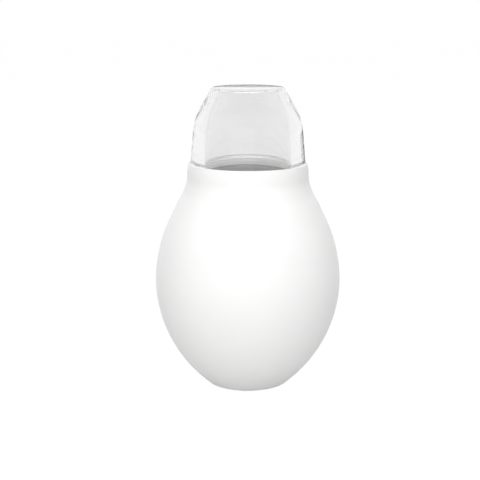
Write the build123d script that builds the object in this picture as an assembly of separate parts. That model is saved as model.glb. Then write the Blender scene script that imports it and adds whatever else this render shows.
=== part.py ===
from build123d import *
import os
from math import degrees

# Hand-squeezed nasal aspirator, standing on its flat base, in millimetres.
# The origin is the middle of the base and +Z is the axis that everything is turned about.
# It is shown put away: the nozzle head hangs upside down in the bulb's mouth under the cap.

# Squeeze bulb, outside: a radius, and how far it is above the one before, from the base to the lip
FOOT_RADIUS = 9.1
HEEL_RADIUS = 12.1
HEEL_RISE = 1.1
HIP_RADIUS = 19.6
HIP_RISE = 7.9
FLANK_RADIUS = 25.35
FLANK_RISE = 11.0
BELLY_RADIUS = 27.35
BELLY_RISE = 10.0
SHOULDER_RADIUS = 25.65
SHOULDER_RISE = 14.0
UPPER_RADIUS = 20.95
UPPER_RISE = 11.0
NAPE_RADIUS = 18.8
NAPE_RISE = 4.2
NECK_RADIUS = 17.85
NECK_RISE = 3.8
LIP_RISE = 3.5

# Lip: a flat seat for the cap, with a low rim round it that leans in a little
RIM_RISE = 0.6
RIM_LEAN = 0.45
RIM_ROUND = 0.15
MOUTH_ROUND = 0.35

# Squeeze bulb, inside
BULB_WALL = 2.0
BASE_WALL = 2.2
MOUTH_WALL = 4.25
LEDGE_WIDTH = 1.2
LEDGE_THICKNESS = 1.6

# Clear cap, measured up from its foot, which stands on the lip's seat
CAP_HEIGHT = 22.55
CAP_SETBACK = 0.97
CAP_DRAFT = 1.13
CAP_SHOULDER_HEIGHT = 13.3
CAP_TOP_INSET = 5.3
CAP_SHOULDER_ROUND = 14.0
CAP_TOP_ROUND = 0.8
CAP_FOOT_WALL = 4.13
CAP_SHOULDER_WALL = 3.4
CAP_RIM_WALL = 1.9
CAP_TOP_WALL = 1.1
CAP_CAVITY_SHOULDER_DROP = 0.9
CAP_CAVITY_ROUND = 20.0
CAP_CAVITY_TOP_ROUND = 1.2
PLUG_DEPTH = 0.75
PLUG_ROUND = 0.25

# Head collar, the ring in the mouth
COLLAR_HEIGHT = 5.5
COLLAR_WALL = 5.2
COLLAR_CHAMFER = 0.3
GROOVE_WIDTH = 1.8
GROOVE_DEPTH = 1.3
SEAL_ROUND = 0.5

# Splash guard, a shallow dish whose broad rim lies on the collar, measured down from the lip
GUARD_DEPTH = 2.15
GUARD_RIM_THICKNESS = 1.2
GUARD_RIM_WIDTH = 5.75
GUARD_SLOPE_WIDTH = 1.5
GUARD_DISH_DEPTH = 0.5
GUARD_SKIN = 0.9
GUARD_ROUND = 0.8
SLIT_LENGTH = 8.0
SLIT_WIDTH = 0.3

# Nozzle chamber, measured down from the collar's lower face
CHAMBER_WALL = 1.2
FLANGE_WIDTH = 0.9
FLANGE_THICKNESS = 1.2
CHAMBER_LENGTH = 10.8
CHAMBER_SKIRT = 4.4
CHAMBER_END_RADIUS = 4.6
CHAMBER_ROUND = 3.5
SPOUT_RADIUS = 2.9
SPOUT_BORE = 1.7
SPOUT_LENGTH = 6.5
CHAMBER_SEAL_THICKNESS = 0.8

# Bayonet: lugs on the chamber, slots in the collar
LUG_COUNT = 2
LUG_REACH = 0.8
LUG_HEIGHT = 1.2
LUG_RISE = 0.9
LUG_ANGLE = 14.0
TWIST_ANGLE = 40.0

# Nozzle tip, pushed up over the spout
TIP_LENGTH = 12.6
TIP_BASE_RADIUS = 6.2
TIP_BASE_HEIGHT = 2.0
TIP_STEP_HEIGHT = 0.8
TIP_WAIST_RADIUS = 4.7
TIP_END_RADIUS = 2.9
TIP_BORE = 1.5
TIP_BASE_ROUND = 0.7
TIP_END_ROUND = 0.9

# Clearances
SLIDE_FIT = 0.05
RIM_FIT = 0.12
SEAL_FIT = 0.02
TURN_FIT = 0.06
LUG_CLEARANCE = 0.15
REST_GAP = 0.05
STACK_GAP = 0.1
GUARD_GAP = 0.2

# Heights of the bulb's stations
HIP_HEIGHT = HEEL_RISE + HIP_RISE
FLANK_HEIGHT = HIP_HEIGHT + FLANK_RISE
BELLY_HEIGHT = FLANK_HEIGHT + BELLY_RISE
SHOULDER_HEIGHT = BELLY_HEIGHT + SHOULDER_RISE
UPPER_HEIGHT = SHOULDER_HEIGHT + UPPER_RISE
NAPE_HEIGHT = UPPER_HEIGHT + NAPE_RISE
NECK_HEIGHT = NAPE_HEIGHT + NECK_RISE
LIP_HEIGHT = NECK_HEIGHT + LIP_RISE
RIM_HEIGHT = LIP_HEIGHT + RIM_RISE

# Radii that follow from the neck: mouth and cap, then collar, guard and chamber
MOUTH_RADIUS = NECK_RADIUS - MOUTH_WALL
CAP_FOOT_RADIUS = NECK_RADIUS - CAP_SETBACK
RIM_RADIUS = CAP_FOOT_RADIUS + RIM_FIT
CAP_SHOULDER_RADIUS = CAP_FOOT_RADIUS - CAP_DRAFT
CAP_TOP_RADIUS = CAP_SHOULDER_RADIUS - CAP_TOP_INSET
COLLAR_RADIUS = MOUTH_RADIUS - SLIDE_FIT
COLLAR_BORE = COLLAR_RADIUS - COLLAR_WALL
GUARD_DISH_RADIUS = COLLAR_RADIUS - GUARD_RIM_WIDTH
GUARD_FLOOR_RADIUS = GUARD_DISH_RADIUS - GUARD_SLOPE_WIDTH
CHAMBER_RADIUS = COLLAR_BORE - TURN_FIT
FLANGE_RADIUS = CHAMBER_RADIUS + FLANGE_WIDTH

# Heights that follow from the stack: lip, plug, guard, collar, ledge
CAP_FOOT = LIP_HEIGHT + REST_GAP
PLUG_END = LIP_HEIGHT - PLUG_DEPTH
GUARD_TOP = LIP_HEIGHT - GUARD_DEPTH
COLLAR_TOP = GUARD_TOP - GUARD_RIM_THICKNESS
COLLAR_BASE = COLLAR_TOP - COLLAR_HEIGHT
LEDGE_TOP = COLLAR_BASE - REST_GAP
LEDGE_BASE = LEDGE_TOP - LEDGE_THICKNESS
FLANGE_TOP = COLLAR_BASE - REST_GAP - CHAMBER_SEAL_THICKNESS
FLANGE_BASE = FLANGE_TOP - FLANGE_THICKNESS
GUARD_FLOOR = GUARD_TOP - GUARD_DISH_DEPTH
GUARD_UNDERSIDE = GUARD_FLOOR - GUARD_SKIN
CHAMBER_TOP = GUARD_UNDERSIDE - GUARD_GAP
CHAMBER_END = COLLAR_BASE - CHAMBER_LENGTH
SPOUT_END = CHAMBER_END - SPOUT_LENGTH
TIP_TOP = CHAMBER_END - STACK_GAP


def turned(*curves):
    """A solid turned about Z from a closed outline of curves drawn as (radius, height)."""
    return revolve(Plane.XZ * make_face(curves), Axis.Z)


def ring(inner, outer, base, top):
    """A plain ring about Z between two radii and two heights."""
    return Pos(0, 0, base) * extrude(Circle(outer) - Circle(inner), top - base)


def disc(radius, base, top):
    """A plain disc about Z between two heights."""
    return Pos(0, 0, base) * extrude(Circle(radius), top - base)


def circles_at(solid, height):
    """The round edges of a turned solid that lie at one height."""
    return solid.edges().filter_by(GeomType.CIRCLE).filter_by_position(Axis.Z, height, height)


def wedge(inner, outer, base, top, start, sweep):
    """A piece of a ring, from one angle through a sweep, in degrees."""
    section = Plane.XZ * Pos((inner + outer) / 2, (base + top) / 2) * Rectangle(outer - inner, top - base)
    return Rot(0, 0, start) * revolve(section, Axis.Z, sweep)


def bulb_side():
    """The bulb's outer side from its heel to its neck."""
    return Spline(
        (HEEL_RADIUS, HEEL_RISE),
        (HIP_RADIUS, HIP_HEIGHT),
        (FLANK_RADIUS, FLANK_HEIGHT),
        (BELLY_RADIUS, BELLY_HEIGHT),
        (SHOULDER_RADIUS, SHOULDER_HEIGHT),
        (UPPER_RADIUS, UPPER_HEIGHT),
        (NAPE_RADIUS, NAPE_HEIGHT),
        (NECK_RADIUS, NECK_HEIGHT),
        tangents=[(1, 0.85), (0, 1)],
    )


def bulb_hollow(side):
    """The space inside the bulb: its side stepped in by the wall, cut off at floor and ledge."""
    stations = 14
    inner = []
    for i in range(stations + 1):
        along = side % (i / stations)
        inner.append(side @ (i / stations) + BULB_WALL * Vector(-along.Y, along.X).normalized())
    wall = Spline(*inner)
    low = (0, inner[0].Y)
    high = (0, inner[-1].Y)
    space = turned(wall, Line(wall @ 1, high), Line(high, low), Line(low, wall @ 0))
    return space & disc(2 * BELLY_RADIUS, BASE_WALL, LEDGE_BASE)


def squeeze_bulb():
    """Soft bulb with a flat base, a rimmed seat for the cap and a ledge that the collar stands on."""
    side = bulb_side()
    rim = (NECK_RADIUS - RIM_LEAN, RIM_HEIGHT)
    ledge_radius = MOUTH_RADIUS - LEDGE_WIDTH
    body = turned(
        Line((0, 0), (FOOT_RADIUS, 0)),
        Line((FOOT_RADIUS, 0), side @ 0),
        side,
        TangentArc(side @ 1, rim, tangent=(0, 1)),
        Polyline(rim, (RIM_RADIUS, RIM_HEIGHT), (RIM_RADIUS, LIP_HEIGHT), (MOUTH_RADIUS, LIP_HEIGHT)),
        Polyline((MOUTH_RADIUS, LIP_HEIGHT), (MOUTH_RADIUS, LEDGE_TOP), (ledge_radius, LEDGE_TOP)),
        Polyline((ledge_radius, LEDGE_TOP), (ledge_radius, LEDGE_BASE), (0, LEDGE_BASE), (0, 0)),
    )
    body = fillet(circles_at(body, RIM_HEIGHT), RIM_ROUND)
    mouth = circles_at(body, LIP_HEIGHT).filter_by(lambda edge: edge.radius < RIM_RADIUS - RIM_FIT)
    body = fillet(mouth, MOUTH_ROUND)
    return body - bulb_hollow(side)


def protective_cap():
    """Clear thick-walled dome with a flat top, whose short plug goes into the bulb's mouth."""
    top = CAP_FOOT + CAP_HEIGHT
    ceiling = top - CAP_TOP_WALL
    shoulder = CAP_FOOT + CAP_SHOULDER_HEIGHT
    plug_radius = MOUTH_RADIUS - SLIDE_FIT
    outside = FilletPolyline(
        (0, top),
        (CAP_TOP_RADIUS, top),
        (CAP_SHOULDER_RADIUS, shoulder),
        (CAP_FOOT_RADIUS, CAP_FOOT),
        radius=[CAP_TOP_ROUND, CAP_SHOULDER_ROUND],
    )
    inside = FilletPolyline(
        (0, ceiling),
        (CAP_TOP_RADIUS - CAP_RIM_WALL, ceiling),
        (CAP_SHOULDER_RADIUS - CAP_SHOULDER_WALL, shoulder - CAP_CAVITY_SHOULDER_DROP),
        (CAP_FOOT_RADIUS - CAP_FOOT_WALL, PLUG_END),
        radius=[CAP_CAVITY_TOP_ROUND, CAP_CAVITY_ROUND],
    )
    plug = Polyline(outside @ 1, (plug_radius, CAP_FOOT), (plug_radius, PLUG_END), inside @ 1)
    cap = turned(outside, plug, inside, Line((0, ceiling), (0, top)))
    return fillet(circles_at(cap, PLUG_END), PLUG_ROUND)


def lug_height(clearance):
    """The lowest and highest point of a lug, or of its slot when given a clearance."""
    low = COLLAR_BASE + LUG_RISE
    return low - clearance, low + LUG_HEIGHT + clearance


def head_collar():
    """Rigid ring with an outer groove and bayonet slots, under the splash guard."""
    collar = ring(COLLAR_BORE, COLLAR_RADIUS, COLLAR_BASE, COLLAR_TOP)
    ends = circles_at(collar, COLLAR_BASE) + circles_at(collar, COLLAR_TOP)
    collar = chamfer(ends.filter_by(lambda edge: edge.radius > COLLAR_BORE + COLLAR_CHAMFER), COLLAR_CHAMFER)
    groove_base, groove_top = groove_heights()
    collar -= ring(COLLAR_RADIUS - GROOVE_DEPTH, COLLAR_RADIUS + GROOVE_DEPTH, groove_base, groove_top)
    slot_base, slot_top = lug_height(LUG_CLEARANCE)
    slot_radius = CHAMBER_RADIUS + LUG_REACH + LUG_CLEARANCE
    slot_play = degrees(LUG_CLEARANCE / COLLAR_BORE)
    slot_inner = COLLAR_BORE - LUG_CLEARANCE
    for i in range(LUG_COUNT):
        start = i * 360 / LUG_COUNT - TWIST_ANGLE - LUG_ANGLE / 2 - slot_play
        run = TWIST_ANGLE + LUG_ANGLE + 2 * slot_play
        way_in = LUG_ANGLE + 2 * slot_play
        collar -= wedge(slot_inner, slot_radius, slot_base, slot_top, start, run)
        collar -= wedge(slot_inner, slot_radius, COLLAR_BASE - LUG_CLEARANCE, slot_top, start, way_in)
    return collar


def groove_heights():
    """The lower and upper wall of the collar's outer groove, half way up the collar."""
    middle = (COLLAR_BASE + COLLAR_TOP) / 2
    return middle - GROOVE_WIDTH / 2, middle + GROOVE_WIDTH / 2


def collar_seal():
    """Soft ring that fills the collar's groove and just meets the bulb's mouth."""
    groove_base, groove_top = groove_heights()
    seal = ring(COLLAR_RADIUS - GROOVE_DEPTH, MOUTH_RADIUS - SEAL_FIT, groove_base, groove_top)
    outer = seal.edges().filter_by(GeomType.CIRCLE).filter_by(lambda edge: edge.radius > COLLAR_RADIUS)
    return fillet(outer, SEAL_ROUND)


def splash_guard():
    """Soft shallow dish with a crossed slit in its middle, whose flat rim covers the collar."""
    upper = FilletPolyline(
        (COLLAR_RADIUS, GUARD_TOP),
        (GUARD_DISH_RADIUS, GUARD_TOP),
        (GUARD_FLOOR_RADIUS, GUARD_FLOOR),
        (0, GUARD_FLOOR),
        radius=GUARD_ROUND,
    )
    lower = Polyline(
        (0, GUARD_UNDERSIDE),
        (GUARD_FLOOR_RADIUS, GUARD_UNDERSIDE),
        (COLLAR_BORE - STACK_GAP, COLLAR_TOP),
        (COLLAR_RADIUS, COLLAR_TOP),
    )
    guard = turned(upper, Line((0, GUARD_FLOOR), (0, GUARD_UNDERSIDE)), lower, Line(lower @ 1, upper @ 0))
    slit = Pos(0, 0, GUARD_FLOOR) * Box(SLIT_LENGTH, SLIT_WIDTH, 4 * GUARD_SKIN)
    return guard - slit - Rot(0, 0, 90) * slit


def nozzle_chamber():
    """Clear cup with a wide mouth in the collar, two lugs, a flange and a spout at its end."""
    inner_radius = CHAMBER_RADIUS - CHAMBER_WALL
    skirt_end = COLLAR_BASE - CHAMBER_SKIRT
    chamber_floor = CHAMBER_END + CHAMBER_WALL
    neck = Polyline(
        (inner_radius, CHAMBER_TOP),
        (CHAMBER_RADIUS, CHAMBER_TOP),
        (CHAMBER_RADIUS, FLANGE_TOP),
        (FLANGE_RADIUS, FLANGE_TOP),
        (FLANGE_RADIUS, FLANGE_BASE),
        (CHAMBER_RADIUS, FLANGE_BASE),
    )
    outside = FilletPolyline(
        (CHAMBER_RADIUS, FLANGE_BASE),
        (CHAMBER_RADIUS, skirt_end),
        (CHAMBER_END_RADIUS, CHAMBER_END),
        radius=CHAMBER_ROUND,
    )
    spout = Polyline(
        (CHAMBER_END_RADIUS, CHAMBER_END),
        (SPOUT_RADIUS, CHAMBER_END),
        (SPOUT_RADIUS, SPOUT_END),
        (SPOUT_BORE, SPOUT_END),
        (SPOUT_BORE, chamber_floor),
        (CHAMBER_END_RADIUS - CHAMBER_WALL / 2, chamber_floor),
    )
    inside = FilletPolyline(
        (CHAMBER_END_RADIUS - CHAMBER_WALL / 2, chamber_floor),
        (inner_radius, skirt_end + CHAMBER_WALL / 2),
        (inner_radius, CHAMBER_TOP),
        radius=CHAMBER_ROUND - CHAMBER_WALL,
    )
    chamber = turned(neck, outside, spout, inside)
    low, high = lug_height(0)
    for i in range(LUG_COUNT):
        start = i * 360 / LUG_COUNT - LUG_ANGLE / 2
        chamber += wedge(inner_radius, CHAMBER_RADIUS + LUG_REACH, low, high, start, LUG_ANGLE)
    return chamber


def chamber_seal():
    """Flat gasket on the chamber's flange, under the collar."""
    return ring(CHAMBER_RADIUS, FLANGE_RADIUS, FLANGE_TOP, FLANGE_TOP + CHAMBER_SEAL_THICKNESS)


def nozzle_tip():
    """Soft tip with a broad base, pushed onto the spout, and a fine hole at its end."""
    socket = SPOUT_RADIUS + SLIDE_FIT
    socket_end = SPOUT_END - STACK_GAP
    base_end = TIP_TOP - TIP_BASE_HEIGHT
    tip_end = TIP_TOP - TIP_LENGTH
    outside = FilletPolyline(
        (socket, TIP_TOP),
        (TIP_BASE_RADIUS, TIP_TOP),
        (TIP_BASE_RADIUS, base_end),
        (TIP_WAIST_RADIUS, base_end - TIP_STEP_HEIGHT),
        (TIP_END_RADIUS, tip_end),
        (TIP_BORE, tip_end),
        radius=[TIP_BASE_ROUND, TIP_BASE_ROUND, TIP_BASE_ROUND, TIP_END_ROUND],
    )
    inside = Polyline(
        (TIP_BORE, tip_end),
        (TIP_BORE, socket_end),
        (socket, socket_end),
        (socket, TIP_TOP),
    )
    return turned(outside, inside)


SUB_PARTS = (
    squeeze_bulb,
    protective_cap,
    head_collar,
    collar_seal,
    splash_guard,
    nozzle_chamber,
    chamber_seal,
    nozzle_tip,
)

os.makedirs("parts", exist_ok=True)
for sub_part in SUB_PARTS:
    export_step(sub_part(), f"parts/{sub_part.__name__}.step")
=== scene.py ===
from math import atan2, cos, degrees, hypot, pi, radians, sin, tan

import bpy
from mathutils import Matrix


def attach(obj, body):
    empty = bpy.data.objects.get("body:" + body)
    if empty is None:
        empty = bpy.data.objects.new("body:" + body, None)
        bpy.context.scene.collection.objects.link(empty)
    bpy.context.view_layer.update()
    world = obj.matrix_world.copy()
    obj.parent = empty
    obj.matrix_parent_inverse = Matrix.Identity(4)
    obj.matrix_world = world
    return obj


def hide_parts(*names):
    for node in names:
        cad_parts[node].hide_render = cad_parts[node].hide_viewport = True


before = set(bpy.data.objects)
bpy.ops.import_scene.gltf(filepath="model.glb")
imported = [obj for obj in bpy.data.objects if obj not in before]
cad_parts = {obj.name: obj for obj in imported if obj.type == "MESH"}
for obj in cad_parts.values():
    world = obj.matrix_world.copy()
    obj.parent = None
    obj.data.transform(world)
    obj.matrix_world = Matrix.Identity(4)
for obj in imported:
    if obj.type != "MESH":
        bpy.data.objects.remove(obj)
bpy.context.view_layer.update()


# --- Squeeze bulb -------------------------------------------------------------------------
# The soft body that is squeezed. It is moulded in one piece of white silicone, 2 mm thick,
# with a flat foot, a broad lip that seats the cap inside a low rim, and a ledge below the mouth.

MM = 0.001
SIDES = 128
WELD = 0.001 * MM

FOOT = (9.1, 0.0)
HEEL = (12.1, 1.1)
BULB_STATIONS = (
    HEEL,
    (19.6, 9.0),
    (25.35, 20.0),
    (27.35, 30.0),
    (25.65, 44.0),
    (20.95, 55.0),
    (18.8, 59.2),
    (17.85, 63.0),
)
HEEL_SLOPE = (1.0, 0.85)
NECK_SLOPE = (0.0, 1.0)
NECK_RISES = (0.0, 0.7, 1.4, 2.1, 2.8, 3.4, 3.8)
LIP_HEIGHT = 66.5
RIM_HEIGHT = 67.1
RIM_RADIUS = 17.0
RIM_OUTER_RADIUS = 17.4
MOUTH_RADIUS = 13.6
BULB_WALL = 2.0
BULB_FLOOR = 2.2
LEDGE_RADIUS = 12.4
LEDGE_BASE = 56.0
LEDGE_TOP = 57.6
SILICONE_WHITE = (0.88, 0.88, 0.875, 1.0)


def flowing(stations, start_slope, end_slope, steps=10):
    """A smooth line through (radius, height) stations that sets off and arrives at given slopes."""
    last = len(stations) - 1
    slopes = []
    for i, (radius, height) in enumerate(stations):
        before, after = stations[max(i - 1, 0)], stations[min(i + 1, last)]
        near = hypot(radius - before[0], height - before[1])
        far = hypot(after[0] - radius, after[1] - height)
        if i in (0, last):
            way = start_slope if i == 0 else end_slope
            slopes.append((way[0] / hypot(*way), way[1] / hypot(*way)))
        else:
            slopes.append(tuple(
                (far / near * (here - b) + near / far * (a - here)) / (near + far)
                for b, here, a in zip(before, (radius, height), after)
            ))
    line = [stations[0]]
    for i in range(last):
        span = hypot(stations[i + 1][0] - stations[i][0], stations[i + 1][1] - stations[i][1])
        for step in range(1, steps + 1):
            t = step / steps
            line.append(tuple(
                (2 * t**3 - 3 * t**2 + 1) * stations[i][k] + (t**3 - 2 * t**2 + t) * span * slopes[i][k]
                + (3 * t**2 - 2 * t**3) * stations[i + 1][k] + (t**3 - t**2) * span * slopes[i + 1][k]
                for k in (0, 1)
            ))
    return line


def rounded(corners, step=9.0):
    """An outline through (radius, height) corners; a third number rounds a corner to that radius."""
    outline = []
    for i, corner in enumerate(corners):
        if len(corner) == 2 or i in (0, len(corners) - 1):
            outline.append(corner[:2])
            continue
        radius, height, rounding = corner
        (r0, h0), (r1, h1) = corners[i - 1][:2], corners[i + 1][:2]
        come = atan2(h0 - height, r0 - radius)
        leave = atan2(h1 - height, r1 - radius)
        between = (leave - come + pi) % (2 * pi) - pi
        reach = rounding / tan(abs(between) / 2)
        middle = rounding / sin(abs(between) / 2)
        centre = (radius + middle * cos(come + between / 2), height + middle * sin(come + between / 2))
        first = (radius + reach * cos(come), height + reach * sin(come))
        last = (radius + reach * cos(leave), height + reach * sin(leave))
        begin = atan2(first[1] - centre[1], first[0] - centre[0])
        sweep = (atan2(last[1] - centre[1], last[0] - centre[0]) - begin + pi) % (2 * pi) - pi
        count = max(2, round(abs(degrees(sweep)) / step))
        for k in range(count + 1):
            angle = begin + sweep * k / count
            outline.append((centre[0] + rounding * cos(angle), centre[1] + rounding * sin(angle)))
    return outline


def turned(name, outline, closed=False, sharp=40.0):
    """Draws an outline in millimetres by extruding one vertex, and spins it about Z into a piece."""
    bpy.ops.object.select_all(action="DESELECT")
    radius, height = outline[0]
    bpy.ops.mesh.primitive_plane_add(size=MM, location=(radius * MM, 0, height * MM))
    piece = bpy.context.object
    piece.name = name
    bpy.ops.object.transform_apply(location=True, rotation=True, scale=True)
    bpy.ops.object.mode_set(mode="EDIT")
    bpy.ops.mesh.select_mode(type="VERT")
    bpy.ops.mesh.select_all(action="SELECT")
    bpy.ops.mesh.merge(type="CENTER")
    for (r0, h0), (r1, h1) in zip(outline, outline[1:]):
        move = ((r1 - r0) * MM, 0, (h1 - h0) * MM)
        bpy.ops.mesh.extrude_vertices_move(TRANSFORM_OT_translate={"value": move})
    bpy.ops.mesh.select_all(action="SELECT")
    if closed:
        bpy.ops.mesh.remove_doubles(threshold=WELD)
    bpy.ops.mesh.select_all(action="SELECT")
    bpy.ops.mesh.spin(steps=SIDES, angle=2 * pi, center=(0, 0, 0), axis=(0, 0, 1))
    bpy.ops.mesh.select_all(action="SELECT")
    bpy.ops.mesh.remove_doubles(threshold=WELD)
    bpy.ops.mesh.normals_make_consistent(inside=False)
    bpy.ops.object.mode_set(mode="OBJECT")
    bpy.ops.object.shade_smooth_by_angle(angle=radians(sharp))
    return piece


def skin_group():
    """A moulded surface: a colour that clouds a little, a polish that varies and a fine grain."""
    group = bpy.data.node_groups.new("moulded_skin", "ShaderNodeTree")
    sockets = (
        ("Colour", "INPUT", "NodeSocketColor"),
        ("Clouding", "INPUT", "NodeSocketFloat"),
        ("Polish", "INPUT", "NodeSocketFloat"),
        ("Polish Change", "INPUT", "NodeSocketFloat"),
        ("Grain Per Metre", "INPUT", "NodeSocketFloat"),
        ("Colour", "OUTPUT", "NodeSocketColor"),
        ("Roughness", "OUTPUT", "NodeSocketFloat"),
        ("Height", "OUTPUT", "NodeSocketFloat"),
    )
    for title, way, kind in sockets:
        group.interface.new_socket(name=title, in_out=way, socket_type=kind)
    nodes, links = group.nodes, group.links
    given, out = nodes.new("NodeGroupInput"), nodes.new("NodeGroupOutput")
    place = nodes.new("ShaderNodeTexCoord")
    clouds, grain = nodes.new("ShaderNodeTexNoise"), nodes.new("ShaderNodeTexNoise")
    clouds.inputs["Scale"].default_value = 110.0
    clouds.inputs["Detail"].default_value = 3.0
    grain.inputs["Detail"].default_value = 2.0
    links.new(place.outputs["Object"], clouds.inputs["Vector"])
    links.new(place.outputs["Object"], grain.inputs["Vector"])
    links.new(given.outputs["Grain Per Metre"], grain.inputs["Scale"])
    lift = nodes.new("ShaderNodeMath")
    lift.operation = "SUBTRACT"
    lift.inputs[1].default_value = 0.5
    links.new(clouds.outputs["Fac"], lift.inputs[0])
    shade = nodes.new("ShaderNodeMath")
    shade.operation = "MULTIPLY_ADD"
    shade.inputs[2].default_value = 1.0
    links.new(lift.outputs[0], shade.inputs[0])
    links.new(given.outputs["Clouding"], shade.inputs[1])
    tint = nodes.new("ShaderNodeHueSaturation")
    links.new(given.outputs["Colour"], tint.inputs["Color"])
    links.new(shade.outputs[0], tint.inputs["Value"])
    polish = nodes.new("ShaderNodeMath")
    polish.operation = "MULTIPLY_ADD"
    links.new(lift.outputs[0], polish.inputs[0])
    links.new(given.outputs["Polish Change"], polish.inputs[1])
    links.new(given.outputs["Polish"], polish.inputs[2])
    links.new(tint.outputs["Color"], out.inputs["Colour"])
    links.new(polish.outputs[0], out.inputs["Roughness"])
    links.new(grain.outputs["Fac"], out.inputs["Height"])
    return group


moulded_skin = skin_group()


def moulded(name, colour, clouding, polish, polish_change, grain_per_metre, grain_height):
    """A material with the moulded skin on a Principled shader; returns it and its shader."""
    material = bpy.data.materials.new(name)
    material.use_nodes = True
    nodes, links = material.node_tree.nodes, material.node_tree.links
    shader = nodes["Principled BSDF"]
    skin, bump = nodes.new("ShaderNodeGroup"), nodes.new("ShaderNodeBump")
    skin.node_tree = moulded_skin
    skin.inputs["Colour"].default_value = colour
    skin.inputs["Clouding"].default_value = clouding
    skin.inputs["Polish"].default_value = polish
    skin.inputs["Polish Change"].default_value = polish_change
    skin.inputs["Grain Per Metre"].default_value = grain_per_metre
    bump.inputs["Distance"].default_value = grain_height
    links.new(skin.outputs["Colour"], shader.inputs["Base Color"])
    links.new(skin.outputs["Roughness"], shader.inputs["Roughness"])
    links.new(skin.outputs["Height"], bump.inputs["Height"])
    links.new(bump.outputs["Normal"], shader.inputs["Normal"])
    return material, shader


bulb_side = flowing(BULB_STATIONS, HEEL_SLOPE, NECK_SLOPE)
bulb_hollow = []
for (r0, h0), (r1, h1) in zip(bulb_side, bulb_side[1:]):
    run = hypot(r1 - r0, h1 - h0)
    inner = (
        (r0 + r1) / 2 - BULB_WALL * (h1 - h0) / run,
        (h0 + h1) / 2 + BULB_WALL * (r1 - r0) / run,
    )
    if BULB_FLOOR < inner[1] < LEDGE_BASE:
        bulb_hollow.append(inner)
neck_radius, neck_height = bulb_side[-1]
draw_in = neck_radius - RIM_OUTER_RADIUS
arc = ((RIM_HEIGHT - neck_height) ** 2 / draw_in + draw_in) / 2
bulb_mouth = rounded([
    (neck_radius - arc + (arc**2 - rise**2) ** 0.5, neck_height + rise)
    for rise in NECK_RISES
] + [
    (RIM_OUTER_RADIUS, RIM_HEIGHT, 0.15),
    (RIM_RADIUS, RIM_HEIGHT, 0.15),
    (RIM_RADIUS, LIP_HEIGHT, 0.08),
    (MOUTH_RADIUS, LIP_HEIGHT, 0.35),
    (MOUTH_RADIUS, LEDGE_TOP, 0.3),
    (LEDGE_RADIUS, LEDGE_TOP, 0.25),
    (LEDGE_RADIUS, LEDGE_BASE, 0.25),
    (bulb_hollow[-1][0], LEDGE_BASE),
])
bulb_foot = rounded(((FOOT[0] - 1, 0.0), (*FOOT, 0.5), HEEL))
bulb = turned(
    "bulb_skin",
    [(0.0, 0.0)] + bulb_foot + bulb_side[1:] + bulb_mouth[1:]
    + bulb_hollow[::-1] + [(bulb_hollow[0][0], BULB_FLOOR), (0.0, BULB_FLOOR)],
)
bulb_silicone, shader = moulded(
    "bulb_silicone", SILICONE_WHITE, clouding=0.02, polish=0.5, polish_change=0.08,
    grain_per_metre=2600.0, grain_height=0.000004,
)
shader.inputs["Specular IOR Level"].default_value = 0.35
shader.inputs["Sheen Weight"].default_value = 0.05
bulb.data.materials.append(bulb_silicone)
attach(bulb, "bulb")
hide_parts("squeeze_bulb")


# --- Nozzle chamber -----------------------------------------------------------------------
# A clear cup of hard plastic that holds what is drawn in. Its wide end has two lugs that turn
# in the collar's slots, and a flange; its narrow end is a short spout that carries the tip.

CHAMBER_TOP = 62.75
CHAMBER_RADIUS = 8.29
CHAMBER_INSIDE = 7.09
FLANGE_RADIUS = 9.19
FLANGE_TOP = 56.8
FLANGE_BASE = 55.6
SKIRT_END = 53.25
CHAMBER_END = 46.85
CHAMBER_WALL = 1.2
SPOUT_SHOULDER = 4.6
SPOUT_RADIUS = 2.9
SPOUT_BORE = 1.7
SPOUT_END = 40.35
LUG_BASE = 58.55
LUG_HEIGHT = 1.2
LUG_REACH = 0.8
LUG_ANGLE = 14.0
LUG_SINK = 0.5
LUG_SETBACK = 0.1
LUG_BEVEL = 0.15
CLEAR_GREY = (0.88, 0.88, 0.88, 1.0)


def clear_plastic(name, colour, waviness):
    """Polished clear plastic, with the faint waviness that moulding leaves."""
    material, glass = moulded(
        name, colour, clouding=0.01, polish=0.012, polish_change=0.01,
        grain_per_metre=160.0, grain_height=waviness,
    )
    glass.inputs["Transmission Weight"].default_value = 1.0
    glass.inputs["IOR"].default_value = 1.49
    return material


def worked(piece, tool, operation):
    """Joins a tool shape to a piece or cuts it out of the piece, and takes the tool away."""
    change = piece.modifiers.new("change", "BOOLEAN")
    change.operation = operation
    change.object = tool
    bpy.ops.object.select_all(action="DESELECT")
    piece.select_set(True)
    bpy.context.view_layer.objects.active = piece
    bpy.ops.object.modifier_apply(modifier=change.name)
    bpy.data.objects.remove(tool)


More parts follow.
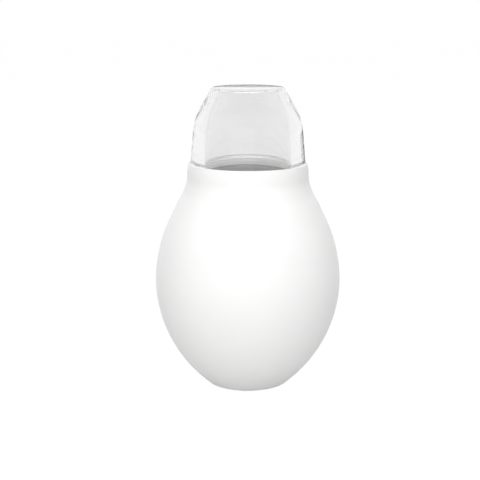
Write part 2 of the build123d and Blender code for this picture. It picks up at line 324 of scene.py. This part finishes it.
chamber = turned("chamber_cup", rounded((
    (CHAMBER_INSIDE, CHAMBER_TOP - 1),
    (CHAMBER_INSIDE, CHAMBER_TOP, 0.2),
    (CHAMBER_RADIUS, CHAMBER_TOP, 0.2),
    (CHAMBER_RADIUS, FLANGE_TOP, 0.1),
    (FLANGE_RADIUS, FLANGE_TOP, 0.15),
    (FLANGE_RADIUS, FLANGE_BASE, 0.15),
    (CHAMBER_RADIUS, FLANGE_BASE, 0.3),
    (CHAMBER_RADIUS, SKIRT_END, 3.0),
    (SPOUT_SHOULDER, CHAMBER_END, 1.0),
    (SPOUT_RADIUS, CHAMBER_END, 0.2),
    (SPOUT_RADIUS, SPOUT_END, 0.2),
    (SPOUT_BORE, SPOUT_END, 0.15),
    (SPOUT_BORE, CHAMBER_END + CHAMBER_WALL, 0.15),
    (SPOUT_SHOULDER - CHAMBER_WALL / 2, CHAMBER_END + CHAMBER_WALL, 0.8),
    (CHAMBER_INSIDE, SKIRT_END + CHAMBER_WALL / 2, 2.0),
    (CHAMBER_INSIDE, CHAMBER_TOP - 1),
)), closed=True)
lug_width = 2 * CHAMBER_RADIUS * sin(radians(LUG_ANGLE / 2))
lug_middle = CHAMBER_RADIUS + (LUG_REACH - LUG_SINK) / 2 - LUG_SETBACK
for side in (0.0, 180.0):
    bpy.ops.object.select_all(action="DESELECT")
    bpy.ops.mesh.primitive_cube_add(size=1.0, location=(0, 0, 0))
    lug = bpy.context.object
    lug.scale = ((LUG_REACH + LUG_SINK) * MM, lug_width * MM, LUG_HEIGHT * MM)
    lug.location = (lug_middle * MM, 0, (LUG_BASE + LUG_HEIGHT / 2) * MM)
    bpy.ops.object.transform_apply(location=True, rotation=True, scale=True)
    bpy.ops.object.mode_set(mode="EDIT")
    bpy.ops.mesh.select_all(action="SELECT")
    bpy.ops.mesh.bevel(offset=LUG_BEVEL * MM, segments=3, affect="EDGES")
    bpy.ops.object.mode_set(mode="OBJECT")
    lug.rotation_euler.z = radians(side)
    bpy.ops.object.transform_apply(location=False, rotation=True, scale=False)
    worked(chamber, lug, "UNION")
bpy.ops.object.shade_smooth_by_angle(angle=radians(40))
chamber.data.materials.clear()
chamber.data.materials.append(clear_plastic("clear_chamber", CLEAR_GREY, 0.000003))
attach(chamber, "chamber")
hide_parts("nozzle_chamber")


# --- Chamber gasket -----------------------------------------------------------------------
# A flat ring of soft silicone that lies on the chamber's flange and is pressed against the
# collar when the chamber is turned home. It is punched from sheet, so its edges are square.

GASKET_THICKNESS = 0.8
GASKET_FIT = 0.04
GASKET_EDGE = 0.08
# This grey is darker than the silicone's own lighter grey. The extra darkness is painted shade for the
# dim mouth under the cap.
SILICONE_GREY_AND_PAINTED_SHADE = (0.2, 0.2, 0.2, 1.0)

gasket = turned("chamber_gasket", rounded((
    (CHAMBER_RADIUS + GASKET_FIT, FLANGE_TOP + GASKET_THICKNESS / 2),
    (CHAMBER_RADIUS + GASKET_FIT, FLANGE_TOP, GASKET_EDGE),
    (FLANGE_RADIUS, FLANGE_TOP, GASKET_EDGE),
    (FLANGE_RADIUS, FLANGE_TOP + GASKET_THICKNESS, GASKET_EDGE),
    (CHAMBER_RADIUS + GASKET_FIT, FLANGE_TOP + GASKET_THICKNESS, GASKET_EDGE),
    (CHAMBER_RADIUS + GASKET_FIT, FLANGE_TOP + GASKET_THICKNESS / 2),
), step=30.0), closed=True)
seal_silicone_painted_shade = moulded(
    "seal_silicone_painted_shade", SILICONE_GREY_AND_PAINTED_SHADE, clouding=0.04, polish=0.5, polish_change=0.1,
    grain_per_metre=2600.0, grain_height=0.000005,
)[0]
gasket.data.materials.append(seal_silicone_painted_shade)
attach(gasket, "chamber")
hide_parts("chamber_seal")


# --- Nozzle tip ---------------------------------------------------------------------------
# The soft, milky tip that goes to the nostril. It is moulded in silicone and pushed over the
# chamber's spout, with a broad foot, a waist and a rounded end round a fine hole.

TIP_TOP = 46.75
TIP_END = 34.15
TIP_FOOT_RADIUS = 6.2
TIP_FOOT_END = 44.75
TIP_WAIST_RADIUS = 4.7
TIP_WAIST = 43.95
TIP_END_RADIUS = 2.9
TIP_BORE = 1.5
TIP_SOCKET = 2.95
TIP_SOCKET_END = 40.25
TIP_MILK = (0.86, 0.87, 0.87, 1.0)

tip = turned("tip_soft", rounded((
    (TIP_SOCKET, TIP_TOP - 1),
    (TIP_SOCKET, TIP_TOP, 0.3),
    (TIP_FOOT_RADIUS, TIP_TOP, 0.7),
    (TIP_FOOT_RADIUS, TIP_FOOT_END, 0.7),
    (TIP_WAIST_RADIUS, TIP_WAIST, 0.7),
    (TIP_END_RADIUS, TIP_END, 0.9),
    (TIP_BORE, TIP_END, 0.3),
    (TIP_BORE, TIP_SOCKET_END, 0.15),
    (TIP_SOCKET, TIP_SOCKET_END, 0.15),
    (TIP_SOCKET, TIP_TOP - 1),
)), closed=True)
tip_silicone, shader = moulded(
    "tip_silicone", TIP_MILK, clouding=0.02, polish=0.38, polish_change=0.06,
    grain_per_metre=2600.0, grain_height=0.000004,
)
shader.inputs["Transmission Weight"].default_value = 0.35
shader.inputs["IOR"].default_value = 1.41
tip.data.materials.append(tip_silicone)
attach(tip, "tip")
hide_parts("nozzle_tip")


# --- Head collar --------------------------------------------------------------------------
# The hard white ring that sits in the bulb's mouth and holds the whole nozzle head together:
# slots inside for the chamber's lugs, a groove outside for the seal, the guard on top.

COLLAR_WHITE = (0.85, 0.85, 0.85, 1.0)

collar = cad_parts["head_collar"]
collar_plastic = moulded(
    "collar_plastic", COLLAR_WHITE, clouding=0.015, polish=0.3, polish_change=0.06,
    grain_per_metre=1800.0, grain_height=0.000002,
)[0]
collar.data.materials.clear()
collar.data.materials.append(collar_plastic)


# --- Collar seal --------------------------------------------------------------------------
# A soft ring stretched into the collar's groove. It makes the head air-tight in the mouth,
# so that the bulb draws only through the tip.

SEAL_INNER = 12.27
SEAL_OUTER = 13.57
SEAL_BASE = 59.52
SEAL_TOP = 61.28
SEAL_ROUND = 0.6
SEAL_INNER_ROUND = 0.2

seal = turned("collar_ring", rounded((
    (SEAL_INNER, (SEAL_BASE + SEAL_TOP) / 2),
    (SEAL_INNER, SEAL_BASE, SEAL_INNER_ROUND),
    (SEAL_OUTER, SEAL_BASE, SEAL_ROUND),
    (SEAL_OUTER, SEAL_TOP, SEAL_ROUND),
    (SEAL_INNER, SEAL_TOP, SEAL_INNER_ROUND),
    (SEAL_INNER, (SEAL_BASE + SEAL_TOP) / 2),
), step=15.0), closed=True)
seal.data.materials.append(seal_silicone_painted_shade)
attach(seal, "head")
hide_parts("collar_seal")


# --- Splash guard -------------------------------------------------------------------------
# A soft dish across the collar that keeps what is drawn in out of the bulb. A crossed slit in
# its middle opens when air is drawn through it. Its broad flat rim covers the collar's top.

GUARD_RIM_RADIUS = 13.55
GUARD_TOP = 64.35
GUARD_RIM_BASE = 63.15
GUARD_DISH_RADIUS = 7.8
GUARD_FLOOR_RADIUS = 6.3
GUARD_FLOOR = 63.85
GUARD_UNDERSIDE = 62.95
GUARD_SHOULDER = 8.2
SLIT_LENGTH = 8.0
SLIT_WIDTH = 0.3
BLADE_DEPTH = 4
GUARD_EASE = 0.03

guard = turned("guard_dish", rounded((
    (0.0, GUARD_FLOOR),
    (GUARD_FLOOR_RADIUS, GUARD_FLOOR, 0.8),
    (GUARD_DISH_RADIUS, GUARD_TOP, 0.8),
    (GUARD_RIM_RADIUS - GUARD_EASE, GUARD_TOP, 0.15),
    (GUARD_RIM_RADIUS - GUARD_EASE, GUARD_RIM_BASE + GUARD_EASE, 0.1),
    (GUARD_SHOULDER, GUARD_RIM_BASE + GUARD_EASE, 0.2),
    (GUARD_FLOOR_RADIUS, GUARD_UNDERSIDE, 0.5),
    (0.0, GUARD_UNDERSIDE),
)))
for turn in (0.0, 90.0):
    bpy.ops.object.select_all(action="DESELECT")
    bpy.ops.mesh.primitive_cube_add(size=1.0, location=(0, 0, 0))
    blade = bpy.context.object
    blade.scale = (SLIT_LENGTH * MM, SLIT_WIDTH * MM, BLADE_DEPTH * MM)
    blade.location = (0, 0, GUARD_FLOOR * MM)
    blade.rotation_euler.z = radians(turn)
    bpy.ops.object.transform_apply(location=True, rotation=True, scale=True)
    worked(guard, blade, "DIFFERENCE")
bpy.ops.object.shade_smooth_by_angle(angle=radians(40))
guard.data.materials.clear()
# The guard takes the darkened grey, so the dim mouth seen through the cap is partly painted shade.
guard.data.materials.append(seal_silicone_painted_shade)
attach(guard, "head")
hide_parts("splash_guard")


# --- Protective cap -----------------------------------------------------------------------
# The thick clear dome over the mouth, moulded in polished hard plastic with a flat top. Its
# foot stands on the lip inside the low rim, and a short plug below the foot enters the mouth.

CAP_FOOT = 66.55
CAP_TOP = 89.1
CAP_FOOT_RADIUS = 16.88
CAP_SHOULDER = (15.75, 79.85)
CAP_TOP_RADIUS = 10.45
PLUG_RADIUS = 13.55
PLUG_END = 65.75
CAVITY_FOOT_RADIUS = 12.75
CAVITY_SHOULDER = (12.35, 78.95)
CAVITY_TOP_RADIUS = 8.55
CAVITY_TOP = 88.0
CAP_TOP_MARGIN = 1.2
CAVITY_TOP_MARGIN = 1.6

cap = turned("cap_dome", rounded((
    (0.0, CAP_TOP),
    (CAP_TOP_RADIUS - CAP_TOP_MARGIN, CAP_TOP),
    (CAP_TOP_RADIUS, CAP_TOP, 0.8),
    (*CAP_SHOULDER, 14.0),
    (CAP_FOOT_RADIUS, CAP_FOOT, 0.25),
    (PLUG_RADIUS, CAP_FOOT, 0.1),
    (PLUG_RADIUS, PLUG_END, 0.25),
    (CAVITY_FOOT_RADIUS, PLUG_END, 0.25),
    (*CAVITY_SHOULDER, 20.0),
    (CAVITY_TOP_RADIUS, CAVITY_TOP, 1.2),
    (CAVITY_TOP_RADIUS - CAVITY_TOP_MARGIN, CAVITY_TOP),
    (0.0, CAVITY_TOP),
), step=4.0), sharp=50.0)
cap.data.materials.append(clear_plastic("clear_cap", CLEAR_GREY, 0.000002))
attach(cap, "cap")
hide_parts("protective_cap")


# --- Studio -------------------------------------------------------------------------------
# A white table under soft light from all round, with a broad soft box in front, a light overhead
# and two behind that light the bulb's edges. A dim window and two dark cards only show mirrored in
# the cap. Seen directly or through clear plastic, the table and the room are plain white.

ROOM_LIGHT = 0.475
TABLE_SIZE = 6.0
TABLE_SHADE = 0.53
TABLE_GLOW = 0.93
TABLE_WHITE = 1.05
LAMPS_AIM = 0.05
SOFT_BOXES = (
    ("soft_box", (-0.05, -0.78, 0.22), (0.45, 0.45), 2.75, False, False),
    ("edge_light_left", (-0.32, 0.62, 0.22), (0.3, 0.3), 1.85, False, False),
    ("edge_light_right", (0.32, 0.62, 0.22), (0.3, 0.3), 1.85, False, False),
    ("window", (-0.16, -0.78, 0.20), (0.72, 0.40), 0.5, True, False),
    ("overhead", (0.0, -0.15, 0.55), (0.6, 0.6), 1.55, False, True),
)
CARDS = (
    ("far_card", (0.0, 1.2, 0.1502), (0.8, 0.0604), 0.3),
    ("side_card", (0.225, 0.42, 0.0225), (0.39, 0.045), 0.02),
)
VIEW_PLACE = (-0.0023, -0.3325, 0.1144)
VIEW_DROP = 11.97
VIEW_LENS = 85.8
BOUNCES = 32


def seen_rays(nodes, links):
    """1 for rays of the camera, a reflection or clear plastic, 0 for rays that light a surface."""
    path = nodes.new("ShaderNodeLightPath")
    first, both = nodes.new("ShaderNodeMath"), nodes.new("ShaderNodeMath")
    first.operation = both.operation = "MAXIMUM"
    links.new(path.outputs["Is Camera Ray"], first.inputs[0])
    links.new(path.outputs["Is Glossy Ray"], first.inputs[1])
    links.new(first.outputs[0], both.inputs[0])
    links.new(path.outputs["Is Transmission Ray"], both.inputs[1])
    return both.outputs[0]


bpy.ops.object.select_all(action="DESELECT")
bpy.ops.mesh.primitive_plane_add(size=TABLE_SIZE, location=(0, 0, 0))
table = bpy.context.object
table.name = "table_top"
table_white = bpy.data.materials.new("table_white")
table_white.use_nodes = True
nodes, links = table_white.node_tree.nodes, table_white.node_tree.links
nodes.clear()
surface = nodes.new("ShaderNodeOutputMaterial")
blend = nodes.new("ShaderNodeMixShader")
glow, matte = nodes.new("ShaderNodeEmission"), nodes.new("ShaderNodeBsdfDiffuse")
matte.inputs["Color"].default_value = (TABLE_SHADE, TABLE_SHADE, TABLE_SHADE, 1.0)
share = nodes.new("ShaderNodeMath")
share.operation = "MULTIPLY"
share.inputs[1].default_value = TABLE_GLOW
links.new(seen_rays(nodes, links), share.inputs[0])
links.new(share.outputs[0], blend.inputs[0])
links.new(matte.outputs[0], blend.inputs[1])
links.new(glow.outputs[0], blend.inputs[2])
links.new(blend.outputs[0], surface.inputs["Surface"])
glow.inputs["Strength"].default_value = TABLE_WHITE
table.data.materials.append(table_white)

room = bpy.data.worlds.new("white_room")
bpy.context.scene.world = room
room.use_nodes = True
nodes, links = room.node_tree.nodes, room.node_tree.links
background = nodes["Background"]
background.inputs["Color"].default_value = (1.0, 1.0, 1.0, 1.0)
strength = nodes.new("ShaderNodeMapRange")
strength.inputs["To Min"].default_value = ROOM_LIGHT
strength.inputs["To Max"].default_value = 1.0
links.new(seen_rays(nodes, links), strength.inputs["Value"])
links.new(strength.outputs["Result"], background.inputs["Strength"])

aim = bulb.location.copy()
aim.z = LAMPS_AIM
for name, place, (width, height), power, mirrored, through in SOFT_BOXES:
    bpy.ops.object.light_add(type="AREA", location=place)
    soft_box = bpy.context.object
    soft_box.name = name
    soft_box.data.shape = "RECTANGLE"
    soft_box.data.size = width
    soft_box.data.size_y = height
    soft_box.data.energy = power
    soft_box.rotation_euler = (soft_box.location - aim).to_track_quat("Z", "Y").to_euler()
    soft_box.visible_camera = False
    soft_box.visible_transmission = through
    soft_box.visible_glossy = mirrored

for name, place, (width, height), shade in CARDS:
    bpy.ops.object.select_all(action="DESELECT")
    bpy.ops.mesh.primitive_plane_add(size=1.0, location=place, rotation=(pi / 2, 0, 0))
    card = bpy.context.object
    card.name = name
    card.scale = (width, height, 1.0)
    bpy.ops.object.transform_apply(location=True, rotation=True, scale=True)
    card_grey = bpy.data.materials.new(name)
    card_grey.use_nodes = True
    nodes, links = card_grey.node_tree.nodes, card_grey.node_tree.links
    nodes.clear()
    surface, glow = nodes.new("ShaderNodeOutputMaterial"), nodes.new("ShaderNodeEmission")
    glow.inputs["Color"].default_value = (shade, shade, shade, 1.0)
    links.new(glow.outputs[0], surface.inputs["Surface"])
    card.data.materials.append(card_grey)
    card.visible_camera = card.visible_diffuse = False
    card.visible_shadow = card.visible_transmission = False

view = bpy.data.cameras.new("view")
view.sensor_width = 36.0
view.lens = VIEW_LENS
view.clip_start = 0.01
camera = bpy.data.objects.new("view", view)
camera.location = VIEW_PLACE
camera.rotation_euler = (radians(90 - VIEW_DROP), 0.0, 0.0)
bpy.context.scene.collection.objects.link(camera)
bpy.context.scene.camera = camera
bpy.context.scene.view_settings.view_transform = "Standard"
bpy.context.scene.cycles.blur_glossy = 0.0
bpy.context.scene.cycles.max_bounces = BOUNCES
bpy.context.scene.cycles.transmission_bounces = BOUNCES
bpy.context.scene.cycles.glossy_bounces = BOUNCES
